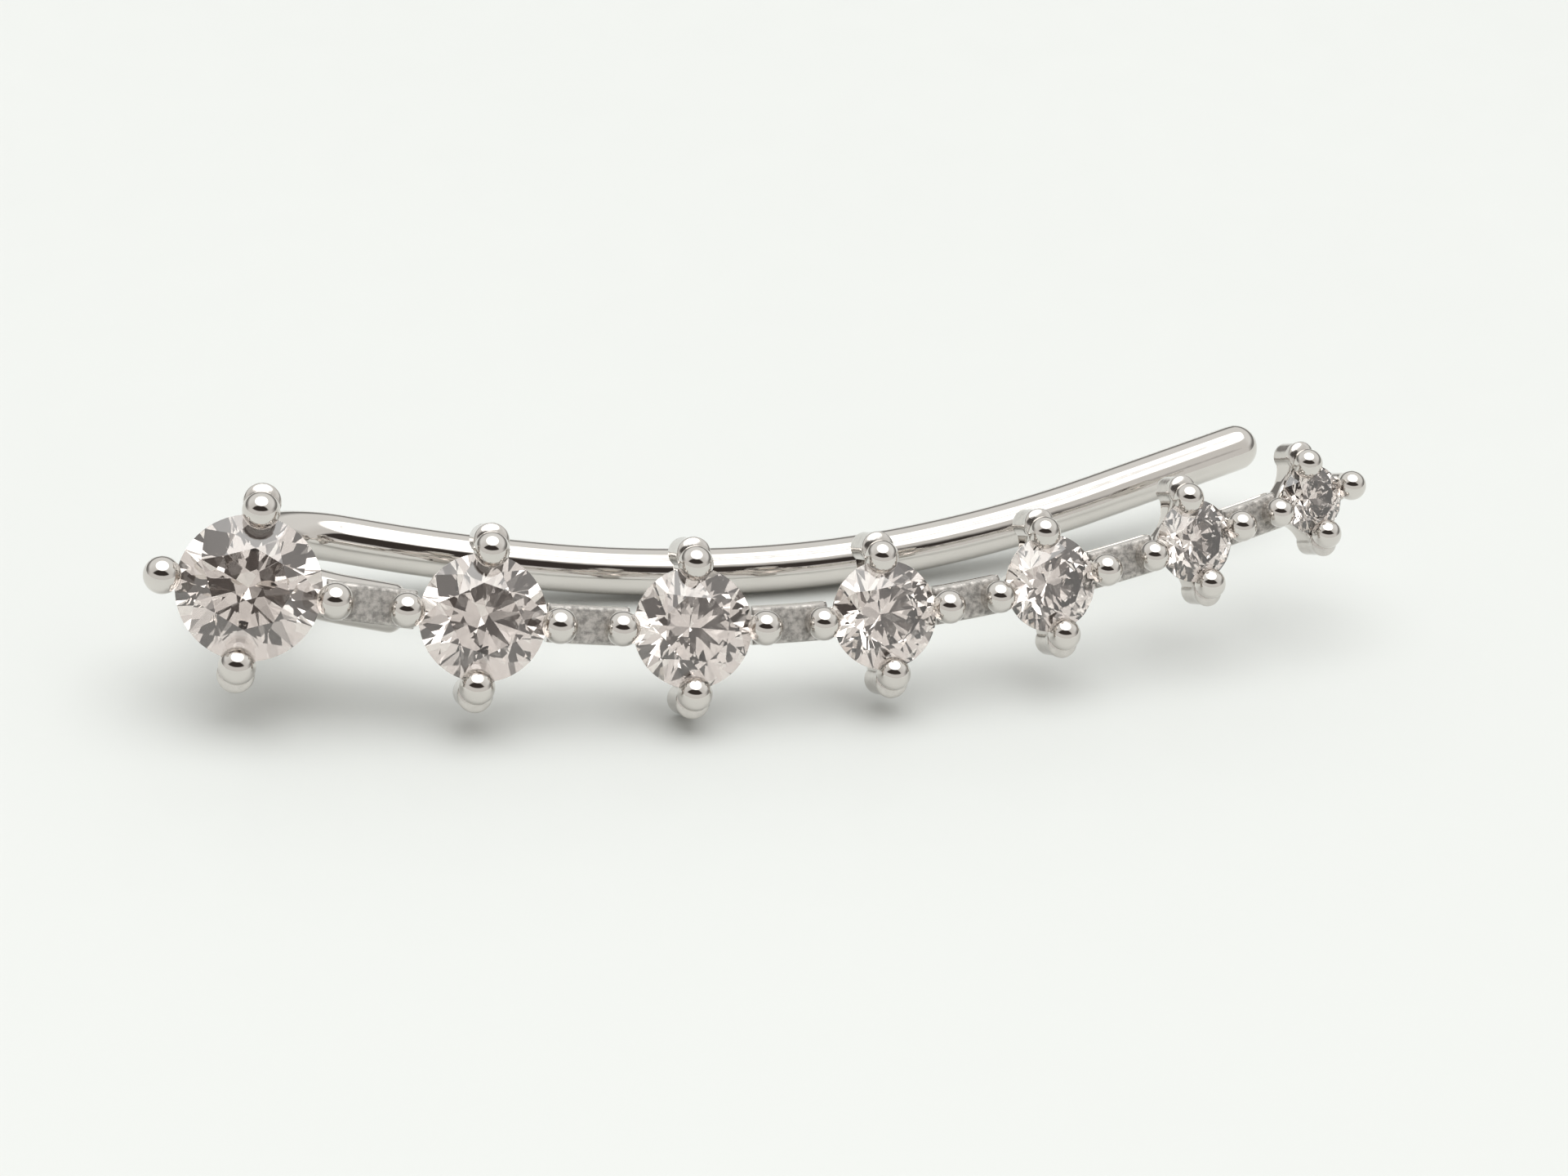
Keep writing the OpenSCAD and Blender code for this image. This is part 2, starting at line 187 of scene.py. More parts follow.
class ClimberMetal(bpy.types.PropertyGroup):
    """Sizes and look of the silver."""

    big_prong: length("Largest ball", "Diameter of the balls on the largest stone", 0.68, 0.6, 0.8)
    small_prong: length("Smallest ball", "Diameter of the balls on the smallest stone", 0.56, 0.5, 0.64)
    ball_lift: length("Ball lift", "Height of a ball's middle above the girdle", 0.14, 0.1, 0.2)
    tip_lean: length("Tip lean", "How far the upper and lower tips lean in over the stone", 0.15, 0.08, 0.2)
    big_link: length("Widest gap", "Clear width between the two largest neighbours", 0.6, 0.4, 0.9)
    small_link: length("Narrowest gap", "Clear width between the two smallest neighbours", 0.3, 0.2, 0.5)
    rail_h: length("Rail height", "Height of the rail's face", 0.7, 0.6, 0.85)
    rail_t: length("Rail depth", "Depth of the rail from face to back", 0.4, 0.35, 0.8)
    rail_sink: length("Rail sink", "Depth of the rail's face below the girdles", 0.1, 0.05, 0.2)
    seat_wall: length("Seat wall", "Least thickness of metal behind a stone's seat", 0.25, 0.2, 0.4)
    rail_bevel: length("Rail edge", "Radius of the rail's long edges", 0.09, 0.05, 0.14)
    plate_edge: length("Plate edge", "Radius of the edges of the setting plates", 0.07, 0.03, 0.1)
    row_bend: degrees("Row bend", "Upward bend of the whole row", 26, 16, 32)
    row_wrap: degrees("Row wrap", "Backward wrap of the whole row", 20, 14, 30)
    wire_d: length("Wire", "Diameter of the ear wire", 0.9, 0.75, 1)
    ear_gap: length("Ear gap", "Clear gap between the rail and the wire", 3.5, 2.6, 4.2)
    wire_rise: length("Wire rise", "Height of the wire's middle above the rail's", 1.0, 0.2, 1.2)
    bend_start: length("Bend start", "From the largest stone's middle to the wire's bend", 1.8, 1.6, 2.1)
    solder_len: length("Soldered length", "Length of the wire soldered along the rail", 0.8, 0.6, 1)
    wire_bend: degrees("Wire bend", "Upward bend of the wire behind the row", 31, 22, 38)
    wire_end: length("Free end", "Length of the wire's straight free end", 3.2, 2.2, 4)
    wire_short: length("Wire short", "How far the wire stops short of the last stone", 0.7, 0, 2)
    silver: tint("Silver colour", "Colour of the polished metal", (0.7, 0.67, 0.637))
    polish: share("Polish", "Roughness of the polished metal", 0.045)
    # Roughness over the rail's cast face, which the posts' painted shade takes too.
    cast: share("Cast face", "Roughness of the rail's unpolished face", 0.5)


class ClimberStage(bpy.types.PropertyGroup):
    """The table, the light and the camera."""

    table_tint: tint("Table colour", "Colour of the pale table", (0.77, 0.79, 0.775))
    lens: FloatProperty(
        name="Lens", description="Focal length on a 36 mm wide frame, in millimetres",
        default=106.7, min=20, max=300,
    )
    roll: degrees("Roll", "Turn of the camera about its own line of sight", 5.83, -30, 30)
    ceiling: FloatProperty(
        name="Ceiling", description="Brightness of the ceiling", default=2.65, min=0, max=10
    )
    walls: tint("Walls", "Light of the walls on the viewer's side", (0.76, 0.745, 0.72))
    back: tint("Back wall", "Light of the walls behind the climber", (0.24, 0.235, 0.225))
    dim: tint("Dim side", "Light of the dim part on the viewer's side", (0.05, 0.042, 0.038))
    sides: IntProperty(
        name="Roundness", description="Sides of the round wire", default=48, min=12, max=96
    )


def turned(axis, angle):
    """Turning matrices: v cos(angle) + (axis x v) sin(angle) + axis (axis . v) (1 - cos(angle))."""
    x, y, z = axis
    k = np.array([[0, -z, y], [z, 0, -x], [-y, x, 0]])
    angle = np.asarray(angle, float)[..., None, None]
    return np.eye(3) + np.sin(angle) * k + (1 - np.cos(angle)) * (k @ k)


def placing(turn, place):
    """Frames from turning matrices and places: the columns are along, up, out and the place."""
    m = np.zeros(np.shape(turn)[:-2] + (4, 4))
    m[..., :3, :3] = turn
    m[..., :3, 3] = place
    m[..., 3, 3] = 1
    return m


def along_arc(arc, at):
    """Frames at shares of one arc: a turn about (0, wrap, bend) on the radius that its span gives."""
    span, bend, wrap = arc
    turn = math.hypot(bend, wrap)
    centre = np.array([0, bend, -wrap]) / turn * (span / turn)
    turns = turned(np.array([0, wrap, bend]) / turn, turn * np.asarray(at, float))
    return placing(turns, centre - turns @ centre)


def moved(m, points):
    """Carries points by a frame."""
    return points @ m[..., :3, :3].swapaxes(-1, -2) + m[..., None, :3, 3]


def unit(v):
    """A direction of length 1."""
    return v / np.linalg.norm(v)


def full_turn(count):
    """Even angles round a full turn."""
    return np.linspace(0, 2 * math.pi, count, endpoint=False)


class Layout:
    """Where everything is, in millimetres: the frames of the settings, the wire and the rest."""

    def __init__(self, stones, metal):
        def mm(value):
            return value / MM

        def graded(small, big, grade):
            return mm(small) + mm(big - small) * grade

        size, link = GRADE.T
        self.stone_r = graded(stones.small_stone, stones.big_stone, size) / 2
        self.ball_r = graded(metal.small_prong, metal.big_prong, size) / 2
        self.post_r = self.ball_r * POST_SHARE
        self.prong_at = self.stone_r + self.ball_r * (1 - BALL_GRIP)
        self.ball_lift = mm(metal.ball_lift)
        gap = graded(metal.small_link, metal.big_link, link[:LAST])
        reach = self.prong_at + self.ball_r
        self.link_len = reach[:-1] + gap + reach[1:]
        self.station = np.concatenate([[0], np.cumsum(self.link_len)])
        self.row_len = self.station[-1]

        self.rail_h, self.rail_t = mm(metal.rail_h), mm(metal.rail_t)
        self.rail_bevel, self.plate_edge = mm(metal.rail_bevel), mm(metal.plate_edge)
        self.rail_back = -mm(metal.rail_sink) - self.rail_t
        self.rail_middle = -mm(metal.rail_sink) - self.rail_t / 2
        self.plate_front = -mm(metal.rail_sink) + PLATE_PROUD
        self.tip_lean = mm(metal.tip_lean)

        self.girdle = stones.girdle_share
        self.table = stones.table_share
        self.seat_gap = mm(stones.seat_gap)
        side = math.cos(math.pi / 8)
        slope = math.tan(stones.crown_angle)
        self.crown_h = (1 - self.table) * slope
        self.star_at = (self.table * side + 1) * STAR_REACH
        self.star_h = self.crown_h - (self.star_at * side - self.table) * slope
        slope = math.tan(stones.pavilion_angle)
        self.culet_h = slope
        self.lower_h = (1 - LOWER_POINT * side) * slope

        self.waist = self.rail_h / 2 * WAIST_SHARE * math.sqrt(2)
        self.seat_slope = self.lower_h / (1 - LOWER_POINT)
        self.seat_edge = self.stone_r * self.girdle + self.seat_gap
        self.seat_r = self.stone_r + self.seat_gap
        seat = -self.seat_edge - (self.seat_r - self.waist) * self.seat_slope
        self.plate_back = np.minimum(self.rail_back - PLATE_PROUD, seat - mm(metal.seat_wall))
        self.post_back = self.plate_back - POST_PROUD

        self.wrap = metal.row_wrap
        self.row_arcs = [
            self.arc(a, b, metal.row_bend) for a, b in zip(self.station[:-1], self.station[1:])
        ]
        self.row = self.chain(np.eye(4), self.row_arcs)

        self.wire_r = mm(metal.wire_d) / 2
        self.wire_end = mm(metal.wire_end)
        self.solder_len = mm(metal.solder_len)
        bend_start = mm(metal.bend_start)
        wire_depth = self.rail_back - mm(metal.ear_gap) - self.wire_r
        solder_depth = self.rail_back - self.wire_r + SOLDER_SINK
        run_len = self.run_len = self.row_len - mm(metal.wire_short) - self.wire_end - bend_start
        dip = turned([0, 0, 1], (metal.row_bend - metal.wire_bend) / 2)
        self.solder = (
            self.row[0] @ along_arc(self.row_arcs[0], bend_start / self.link_len[0])
            @ placing(dip, [0, 0, solder_depth])
        )
        self.back_leg = np.array([0, mm(metal.wire_rise), wire_depth - solder_depth])
        starts = bend_start + run_len * np.arange(WIRE_ARCS + 1) / WIRE_ARCS
        self.run_arcs = [self.arc(a, b, metal.wire_bend) for a, b in zip(starts[:-1], starts[1:])]
        self.wire = self.chain(self.solder @ placing(np.eye(3), self.back_leg), self.run_arcs)
        self.rest = self.lie_down()

    def arc(self, start, end, full_bend):
        """One arc's length, its share of the bend, which eases in and out, and of the even wrap."""
        def ease(at):
            t = at / self.row_len
            return t * t * (3 - 2 * t)

        span = end - start
        return span, full_bend * (ease(end) - ease(start)), self.wrap * span / self.row_len

    def chain(self, start, arcs):
        """Frames at the start of each arc and at the end of the last."""
        frames = [start]
        for arc in arcs:
            frames.append(frames[-1] @ along_arc(arc, 1))
        return np.array(frames)

    def bend_points(self, at):
        """The bend's middle line at shares of its half turn, from the run to the soldered end."""
        leg = self.back_leg
        turn = math.pi * np.asarray(at)[:, None]
        out = leg / 2 * np.cos(turn) - np.array([1, 0, 0]) * np.linalg.norm(leg) / 2 * np.sin(turn)
        return moved(self.solder, leg / 2 + out)

    def wire_at(self, at):
        """The frame at one point of the run, counted in arcs."""
        i = min(int(at), WIRE_ARCS - 1)
        return self.wire[i] @ along_arc(self.run_arcs[i], at - i)

    def run_points(self, at):
        """The rear run's middle line at shares of each arc, one arc after the other."""
        frames = [m @ along_arc(arc, at) for m, arc in zip(self.wire, self.run_arcs)]
        return np.concatenate(frames)[:, :3, 3]

    def balance(self):
        """The point of balance: stretches of wire and settings, each with its weight in wire."""
        leg, bend_r = self.back_leg, np.linalg.norm(self.back_leg) / 2
        deep = np.stack([self.post_back * 0, self.post_back * 0, self.post_back / 2], -1)
        bend_middle = leg / 2 - [2 * bend_r / math.pi, 0, 0]
        at = np.concatenate([
            [self.wire_at(i + 0.5)[:3, 3] for i in range(WIRE_ARCS)],
            moved(self.row, deep[:, None])[:, 0],
            moved(self.solder, np.array([bend_middle, [self.solder_len / 2, 0, 0]])),
            moved(self.wire[-1], np.array([[self.wire_end / 2, 0, 0]])),
        ])
        weight = np.concatenate([
            np.full(WIRE_ARCS, self.run_len / WIRE_ARCS), self.prong_at * SETTING_WEIGHT,
            [math.pi * bend_r, self.solder_len, self.wire_end],
        ])
        return weight @ at / weight.sum()

    def lie_down(self):
        """The frame of the row as it rests: on one lower post's back edge and on the wire's run.

        It rocks until the balance is straight above the line between the two. Halving finds where
        the wire touches: there it runs square to the normal, which starts as a rough guess.
        """
        at = np.arange(SAMPLES + 1) / SAMPLES
        wire = np.concatenate([
            self.run_points(at), self.bend_points(at),
            moved(self.wire[-1], np.array([[self.wire_end + TIP_PAST, 0, 0]])),
        ])
        side = np.radians(90 * np.arange(4))
        tips = np.stack([np.cos(side), np.sin(side), side * 0], -1) * self.prong_at[:, None, None]
        tips[..., 2] = self.ball_lift - HEAD_DROP
        tips = moved(self.row, tips).reshape(-1, 3)
        leaning = moved(self.row, self.leaning()).reshape(-1, 3)
        balls = np.concatenate([wire, tips, leaning])
        radii = np.concatenate([
            np.full(len(wire), self.wire_r), np.repeat(self.ball_r, 4), np.repeat(self.ball_r, 2)
        ])
        balance = self.balance()
        up = unit(np.array([0, 1, 0.4]))
        low, high = 0, WIRE_ARCS
        for _ in range(HALVINGS):
            at = (low + high) / 2
            frame_at = self.wire_at(at)
            line = unit(frame_at[:3, 3] - self.wire_r * up - self.foot(FOOT, up))
            arm = balance - self.foot(FOOT, up)
            up = unit(arm - (arm @ line) * line)
            low, high = (at, high) if frame_at[:3, 0] @ up > 0 else (low, at)
        chord = self.row[-1][:3, 3] - self.row[0][:3, 3]
        along = unit(chord - (chord @ up) * up)
        turn = np.array([along, np.cross(up, along), up])
        high = (balls @ turn.T + radii[:, None]).max(0)
        low = (balls @ turn.T - radii[:, None]).min(0)
        place = -(high + low) / 2
        place[2] = -min(low[2], min(self.foot(i, up) @ up for i in range(LAST + 1)))
        return placing(turn, place)

    def leaning(self):
        """The middles of the upper and lower tips in each setting's own frame."""
        side = np.array([-1, 1]) * (self.prong_at - self.tip_lean)[:, None]
        return np.stack([side * 0, side, side * 0 + self.ball_lift + TIP_RISE], -1)

    def foot(self, i, up):
        """The lowest point of the back edge of one setting's lower post."""
        out = self.row[i][:3, 2]
        down = unit((up @ out) * out - up)
        edge = moved(self.row[i], np.array([[0, -self.prong_at[i], self.post_back[i]]]))[0]
        return edge + self.post_r[i] * down


def layout():
    """The places that the scene's own sizes give."""
    scene = bpy.context.scene
    return Layout(scene.climber_stones, scene.climber_metal)


def grid_faces(rows, columns, closed):
    """Four-sided faces of a grid of rows and columns, whose columns run round and meet if closed."""
    corner = np.arange(rows * columns).reshape(rows, columns)
    beside = np.roll(corner, -1, 1) if closed else corner[:, 1:]
    corner = corner if closed else corner[:, :-1]
    quads = np.stack([corner[:-1], beside[:-1], beside[1:], corner[1:]], -1)
    return quads.reshape(-1, 4)


def tubes(grids):
    """Closed skins from grids of points (skin, row, column): the first and last rows end in fans."""
    skins, rows, columns = grids.shape[:3]
    poles = grids[:, [0, -1]].mean(2)
    points = np.concatenate([grids.reshape(skins, -1, 3), poles], 1)
    quads = grid_faces(rows, columns, True)
    ring = np.arange(columns)
    after = np.roll(ring, -1)
    first = np.stack([np.full(columns, rows * columns), after, ring], -1)
    last = np.stack([np.full(columns, rows * columns + 1), ring, after], -1)
    last[:, 1:] += (rows - 1) * columns
    step = (np.arange(skins) * points.shape[1])[:, None, None]
    quads, fans = quads + step, np.concatenate([first, last]) + step
    return points.reshape(-1, 3), quads.reshape(-1, 4).tolist() + fans.reshape(-1, 3).tolist()


def rings(grids):
    """Closed skins from grids of points (skin, row, column) whose last row meets the first."""
    skins, rows, columns = grids.shape[:3]
    quads = grid_faces(rows + 1, columns, True) % (rows * columns)
    step = (np.arange(skins) * rows * columns)[:, None, None]
    return grids.reshape(-1, 3), (quads + step).reshape(-1, 4).tolist()


def make_piece(name, points, faces, material, replaced, flat=False, cast=None):
    """A mesh object from points in millimetres as the climber rests, riding on its one body."""
    mesh = bpy.data.meshes.new(name)
    mesh.from_pydata((points * MM).tolist(), [], faces)
    mesh.validate()
    mesh.update()
    mesh.polygons.foreach_set("use_smooth", np.full(len(mesh.polygons), not flat))
    # A share at each point of a darker, rougher skin: the rail's cast face, and painted shade on posts.
    if cast is not None:
        skin = mesh.attributes.new("cast", "FLOAT", "POINT")
        skin.data.foreach_set("value", cast.astype(np.float32))
    mesh.materials.append(material)
    piece = bpy.data.objects.new(name, mesh)
    bpy.context.scene.collection.objects.link(piece)
    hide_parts(replaced)
    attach(piece, "root")
    return piece


def carry(section, frames):
    """A flat outline (up, out) carried along frames: each row of points is one frame's outline."""
    outline = np.concatenate([np.zeros((len(section), 1)), section], 1)
    return moved(frames, outline)


def ear_wire_points(lay, sides):
    """The wire's skin: a circle along the soldered end, the bend, the run and the free end.

    The circle's radius is r sqrt(1 - t t) over each end, where t runs from 0 to 1 at the tip, and
    stays r between. The soldered end is blunter, 0.7 as long. The circle stands square to the middle
    line, turned from the row's own up.
    """
    r, blunt, least = lay.wire_r, 0.7, 0.0004
    ends = np.sin(np.linspace(0, math.pi / 2, END_ROWS))
    soldered = np.linspace(lay.solder_len, 0, SOLDERED_ROWS)[1:-1]
    solder = np.concatenate([lay.solder_len + r * blunt * ends[::-1], soldered])
    solder = moved(lay.solder, np.stack([solder, solder * 0, solder * 0], -1))
    bend = lay.bend_points(np.linspace(1, 0, BEND_ROWS))
    run = lay.run_points(np.linspace(0, 1, ARC_ROWS)[1:])
    straight = np.linspace(0, lay.wire_end, FREE_ROWS)[1:]
    free = np.concatenate([straight, lay.wire_end + TIP_PAST + r * ends[1:]])
    free = moved(lay.wire[-1], np.stack([free, free * 0, free * 0], -1))
    path = np.concatenate([solder, bend, run, free])
    radius = np.full(len(path), r)
    rim = np.sqrt(np.clip(1 - ends ** 2, least, 1))
    radius[:END_ROWS] = r * rim[::-1]
    radius[-END_ROWS:] = r * rim
    ahead = np.gradient(path, axis=0)
    ahead /= np.linalg.norm(ahead, axis=1, keepdims=True)
    up = lay.row[LAST // 2][:3, 1]
    side = np.cross(ahead, up)
    side /= np.linalg.norm(side, axis=1, keepdims=True)
    top = np.cross(side, ahead)
    turn = full_turn(sides)[None, :, None]
    ring = np.cos(turn) * side[:, None] - np.sin(turn) * top[:, None]
    return path[:, None] + radius[:, None, None] * ring


def rail_points(lay, rows=26, face_edge=0.4):
    """The rail's skin: a bar with rounded edges carried along each arc from stone to stone.

    The outline is straight sides joined by quarter circles of the edge's radius. It ends beside the
    two stones. Returns the points, and for each whether it is on the cast face, which takes in the
    part of the rounded edges that is less than face_edge of their radius below it.
    """
    h, t, b = lay.rail_h / 2, lay.rail_t / 2, lay.rail_bevel
    corner = np.stack([np.cos(QUARTER), np.sin(QUARTER)], -1) * b
    quarter = [corner + [h - b, t - b]]
    quarter.append(np.stack([-corner[:, 1], corner[:, 0]], -1) + [b - h, t - b])
    quarter.append(-corner + [b - h, b - t])
    quarter.append(np.stack([corner[:, 1], -corner[:, 0]], -1) + [h - b, b - t])
    section = []
    for a, c in zip(quarter, quarter[1:] + quarter[:1]):
        section.append(a)
        section.append(a[-1] + (c[0] - a[-1]) * np.linspace(0, 1, 6)[1:-1, None])
    section = np.concatenate(section) + [0, lay.rail_middle]
    beside = lay.seat_r + RAIL_ROOM
    spans = np.linspace(beside[:-1], lay.link_len - beside[1:], rows, axis=1) / lay.link_len[:, None]
    grids = [
        carry(section, m @ along_arc(arc, span)) for m, arc, span in zip(lay.row, lay.row_arcs, spans)
    ]
    front = (section[:, 1] > lay.rail_middle + t - b * face_edge).astype(float)
    cast = np.concatenate([np.tile(front, rows), [0, 0]])
    return np.array(grids), np.tile(cast, len(grids))


def plate_points(lay, i, around=168, least_hole=0.05):
    """One setting plate's skin, from the hole in its seat over its edge and back below to the hole.

    The outline is the nearer of a square and of four round bites out of its corners, seen from the
    middle. The front is the lower of a flat face and of the cone that the stone sits in, the edges
    are quarter circles, and the wall is straight.
    """
    theta = -full_turn(around)
    tip, arm, waist = lay.prong_at[i], lay.post_r[i] * ARM_SHARE, lay.waist
    bite_at = (arm ** 2 + tip ** 2 - waist ** 2) / (2 * (arm + tip) - 2 * math.sqrt(2) * waist)
    bite_r = bite_at * math.sqrt(2) - waist
    c, s = np.abs(np.cos(theta)), np.abs(np.sin(theta))
    square = tip / np.maximum(c, s)
    middle = bite_at * (c + s)
    hit = middle ** 2 - 2 * bite_at ** 2 + bite_r ** 2
    bite = np.where(hit > 0, middle - np.sqrt(np.maximum(hit, 0)), np.inf)
    reach = np.minimum(square, bite)[:, None]

    e, plate_back = lay.plate_edge, lay.plate_back[i]
    wide, edge, slope = lay.seat_r[i], lay.seat_edge[i], lay.seat_slope

    def front(at):
        return np.minimum(lay.plate_front, -edge - (wide - at) * slope)

    lip = wide - (-edge - lay.plate_front) / slope
    hole = max(wide - (-edge - plate_back) / slope, least_hole)
    inner = hole + (np.minimum(lip, reach - e) - hole) * np.linspace(0, 1, 9)
    outer = inner[:, -1:] + (reach - e - inner[:, -1:]) * np.linspace(0, 1, 7)[1:]
    turn = QUARTER[1:]
    over = reach - e + e * np.sin(turn)
    drop = front(reach - e) - e + e * np.cos(turn)
    down = plate_back + e + (drop[:, -1:] - plate_back - e) * np.linspace(1, 0, 6)[1:]
    under = reach - e + e * np.cos(turn)
    sunk = plate_back + e - e * np.sin(turn) + reach * 0
    back = hole + (reach - e - hole) * np.linspace(1, 0, 6)[1:-1]
    across = np.concatenate([inner, outer, over, down * 0 + reach, under, back], 1)
    height = np.concatenate(
        [front(inner), front(outer), drop, down, sunk, back * 0 + plate_back], 1
    )
    x, y = across * np.cos(theta)[:, None], across * np.sin(theta)[:, None]
    return moved(lay.row[i], np.stack([x, y, height], -1).swapaxes(0, 1))


def prong_points(lay, i, around=40):
    """The four prongs' skins: one outline turned about each post's own line.

    The outline runs from the middle of the post's back over a rounded edge, straight up the post,
    and over the ball: ball radius times (cos, sin) of its height angle. Under a leaning tip the
    ball's upper half is flattened by HEAD_FLAT.
    """
    post, ball, post_back, e = lay.post_r[i], lay.ball_r[i], lay.post_back[i], POST_EDGE
    middle = [0.02, post_back]
    foot = np.stack([post - e + e * np.sin(QUARTER), post_back + e - e * np.cos(QUARTER)], -1)
    neck = -math.acos(post / ball)
    rise = np.linspace(neck, math.pi / 2 - NEAR_POLE, 18)
    theta = full_turn(around)
    prongs = []
    for side, (drop, flat) in enumerate(zip(HEAD_DROP, HEAD_FLAT)):
        lift = lay.ball_lift - drop
        shaft = np.linspace(post_back + e, lift + ball * math.sin(neck), 9)[1:-1]
        shaft = np.stack([np.full(len(shaft), post), shaft], -1)
        dome = np.where(rise > 0, flat, 1) * np.sin(rise)
        head = np.stack([ball * np.cos(rise), lift + ball * dome], -1)
        outline = np.concatenate([[middle], foot, shaft, head])
        ring = np.stack([
            outline[:, :1] * np.cos(theta), outline[:, :1] * np.sin(theta), outline[:, 1:] + theta * 0
        ], -1)
        at = math.pi / 2 * side
        prongs.append(ring + np.array([math.cos(at), math.sin(at), 0]) * lay.prong_at[i])
    return moved(lay.row[i], np.array(prongs))


def tip_points(lay, i, around=40):
    """The upper and lower tips' skins: radius times (cos, sin) of the height angle, turned round."""
    rise = np.linspace(NEAR_POLE - math.pi / 2, math.pi / 2 - NEAR_POLE, 26)[:, None]
    theta = full_turn(around)
    x, y = np.cos(rise) * np.cos(theta), np.cos(rise) * np.sin(theta)
    ball = np.stack([x, y, np.sin(rise) + theta * 0], -1)
    return moved(lay.row[i], ball[None] * lay.ball_r[i] + lay.leaning()[i][:, None, None])


def solder_points(lay, around=40, fullness=0.8):
    """The solder's skin: a low mound along the soldered end, nearly as wide as the rail.

    Across, it is an oval whose cosine is raised to a power under 1, which makes it fuller. Along,
    its width and height are the square root of 1 - t^4, where t is -1 and 1 at its ends.
    """
    t = np.linspace(-SOLDER_END, 1, 30) * SOLDER_END
    swell = ((1 - t ** 4) ** 0.5)[:, None]
    turn = full_turn(around)
    width = np.sign(np.cos(turn)) * np.abs(np.cos(turn)) ** fullness * (lay.rail_h / 2 - SOLDER_INSET)
    depth = np.sin(turn) * SOLDER_DEPTH
    x = lay.solder_len * 0.5 + lay.solder_len * SOLDER_REACH * t
    height = swell * depth + lay.wire_r - SOLDER_SINK
    return moved(lay.solder, np.stack([x[:, None] + turn * 0, swell * width, height], -1))


def stone_points(lay, i, parts=6):
    """A round cut on a radius of 1: table, star, kite, half and girdle facets, then the same below.

    The girdle's corners lie on the circle. Between two of them its edge follows the half facet's
    plane, which falls by the facet's slope times the circle's bulge beyond the straight chord.
    """
    g, eighth = lay.girdle, math.pi / 4
    k = np.arange(8)
    half = math.cos(eighth / 4)

    def ring(at, turn, height):
        return np.stack([at * np.cos(turn), at * np.sin(turn), height + turn * 0], -1)

    turn = np.arange(16 * parts) * eighth / 2 / parts
    off = (np.arange(16 * parts) % parts) / parts * eighth / 2 - eighth / 4
    bulge = np.cos(off) - half
    top = ring(1, turn, g - lay.star_h * bulge / (half * (1 - lay.star_at)))
    bottom = ring(1, turn, -g + lay.lower_h * bulge / (half * (1 - LOWER_POINT)))
    points = np.concatenate([
        ring(lay.table, k * eighth, g + lay.crown_h),
        ring(lay.star_at, k * eighth + eighth / 2, g + lay.star_h),
        ring(LOWER_POINT, k * eighth + eighth / 2, -g - lay.lower_h),
        [[0, 0, -g - lay.culet_h]], top, bottom,
    ])
    star, lower, culet, upper = 8, 16, 24, 25
    under = upper + 16 * parts
    after, before = (k + 1) % 8, (k + 7) % 8
    corner = np.arange(parts + 1)
    first = (2 * k[:, None] * parts + corner) % (16 * parts)
    second = ((2 * k[:, None] + 1) * parts + corner) % (16 * parts)
    rim = np.arange(16 * parts)
    beyond = np.roll(rim, -1)
    fan = (star + k)[:, None]
    drop = (lower + k)[:, None]
    faces = [k[None], np.stack([k, star + k, after], -1)]
    faces.append(np.stack([k, star + before, upper + 2 * k * parts, star + k], -1))
    faces += [np.concatenate([fan, upper + first], 1), np.concatenate([fan, upper + second], 1)]
    faces.append(np.stack([upper + rim, under + rim, under + beyond, upper + beyond], -1))
    faces += [
        np.concatenate([drop, under + first[:, ::-1]], 1),
        np.concatenate([drop, under + second[:, ::-1]], 1),
    ]
    faces.append(np.stack([np.full(8, culet), lower + k, under + 2 * k * parts, lower + before], -1))
    turned_by = turned([0, 0, 1], math.radians(STONE_TURN * i))
    points = moved(lay.row[i], points * lay.stone_r[i] @ turned_by.T)
    return points, sum((f.tolist() for f in faces), [])


def new_material(name):
    """A new material with a bare shader: returns the material, its node tree and the shader."""
    material = bpy.data.materials.new(name)
    material.use_nodes = True
    tree = material.node_tree
    tree.nodes.clear()
    shader = tree.nodes.new("ShaderNodeBsdfPrincipled")
    out = tree.nodes.new("ShaderNodeOutputMaterial")
    tree.links.new(shader.outputs["BSDF"], out.inputs["Surface"])
    return material, tree, shader


def noise(tree, place, scale, detail=3.0, rough=0.5):
    """A noise pattern of so many cells to the metre."""
    node = tree.nodes.new("ShaderNodeTexNoise")
    node.inputs["Scale"].default_value = scale
    node.inputs["Detail"].default_value = detail
    node.inputs["Roughness"].default_value = rough
    tree.links.new(place, node.inputs["Vector"])
    return node.outputs["Fac"]


def ranged(tree, value, low, high, to_low, to_high):
    """A value's range carried to another, held at its ends."""
    node = tree.nodes.new("ShaderNodeMapRange")
    node.inputs["From Min"].default_value = low
    node.inputs["From Max"].default_value = high
    node.inputs["To Min"].default_value = to_low
    node.inputs["To Max"].default_value = to_high
    tree.links.new(value, node.inputs["Value"])
    return node.outputs["Result"]


def math_node(tree, kind, a, b):
    """One sum, product or the like of two values, either of which may be a number."""
    node = tree.nodes.new("ShaderNodeMath")
    node.operation = kind
    for value, socket in zip((a, b), node.inputs):
        if isinstance(value, (int, float)):
            socket.default_value = value
        else:
            tree.links.new(value, socket)
    return node.outputs["Value"]


def mixed(tree, share_of, a, b):
    """A colour between two colours."""
    node = tree.nodes.new("ShaderNodeMix")
    node.data_type = "RGBA"
    tree.links.new(share_of, node.inputs["Factor"])
    for value, socket in ((a, node.inputs[6]), (b, node.inputs[7])):
        if isinstance(value, bpy.types.NodeSocket):
            tree.links.new(value, socket)
        else:
            socket.default_value = (*value, 1)
    return node.outputs[2]


